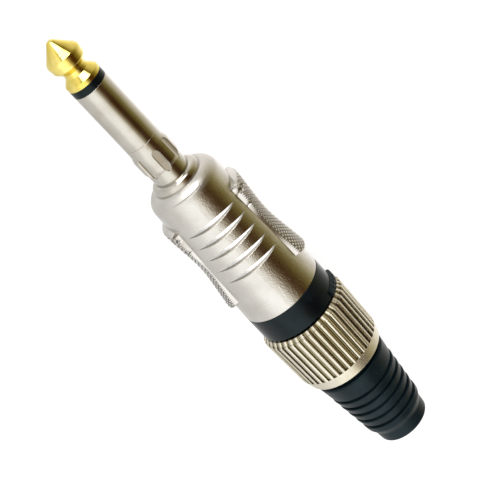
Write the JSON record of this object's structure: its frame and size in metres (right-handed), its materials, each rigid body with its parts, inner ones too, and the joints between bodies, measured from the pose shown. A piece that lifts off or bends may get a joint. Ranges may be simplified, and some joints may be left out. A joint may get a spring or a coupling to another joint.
{
  "type": "mono jack plug",
  "caption": "Straight mono jack plug with a gilt tip, nickel sleeve, cast shell with dished grips and crescent grooves, fluted nut and ribbed rubber cable boot.",
  "frame": {"origin": "on the plug's axis at the mating face, the front of the nose ring, where the plug stops against a socket", "axes": "+X along the plug's axis towards the tip; +Z towards the side of the shell with the crescent grooves; the plug lies on its side"},
  "size_m": [0.0956, 0.0166, 0.0166],
  "materials": {
    "gold_plate": "polished gold plate on turned brass",
    "black_plastic": "semi-gloss black moulding",
    "natural_plastic": "plain natural plastic",
    "polished_nickel": "polished nickel plate on turned brass",
    "satin_nickel_casting": "fine-grained satin nickel plate on a zinc casting",
    "satin_nickel": "satin nickel plate on machined brass",
    "tinned_brass": "tinned sheet brass",
    "chuck_plastic": "matt black moulding",
    "black_rubber": "satin black rubber with a fine grain"
  },
  "bodies": {
    "shell": {"tip_contact": "gold_plate", "tip_insulator": "black_plastic", "rod_tube": "natural_plastic", "sleeve": "polished_nickel", "neck_collar": "polished_nickel", "nose_ring": "polished_nickel", "shell": "satin_nickel_casting", "ground_lug": "tinned_brass", "insulating_washer": "natural_plastic", "tip_lug": "tinned_brass", "insulating_shroud": "natural_plastic", "cable_chuck": "chuck_plastic", "marking_ring": "black_plastic"},
    "boot": {"cable_boot": "black_rubber"},
    "nut": {"rear_nut": "satin_nickel"}
  },
  "joints": [
    {"name": "nut_travel", "type": "slide", "parent": "shell", "child": "boot", "axis": [-1, 0, 0], "range_m": [0, 0.008]},
    {"name": "nut_turn", "type": "hinge", "parent": "boot", "child": "nut", "pos_m": [-0.0408, 0, 0], "axis": [-1, 0, 0], "range_deg": [0, 2880]}
  ],
  "couplings": [
    {"joint": "nut_turn", "follows": "nut_travel", "rad_per_m": 6283.2}
  ]
}
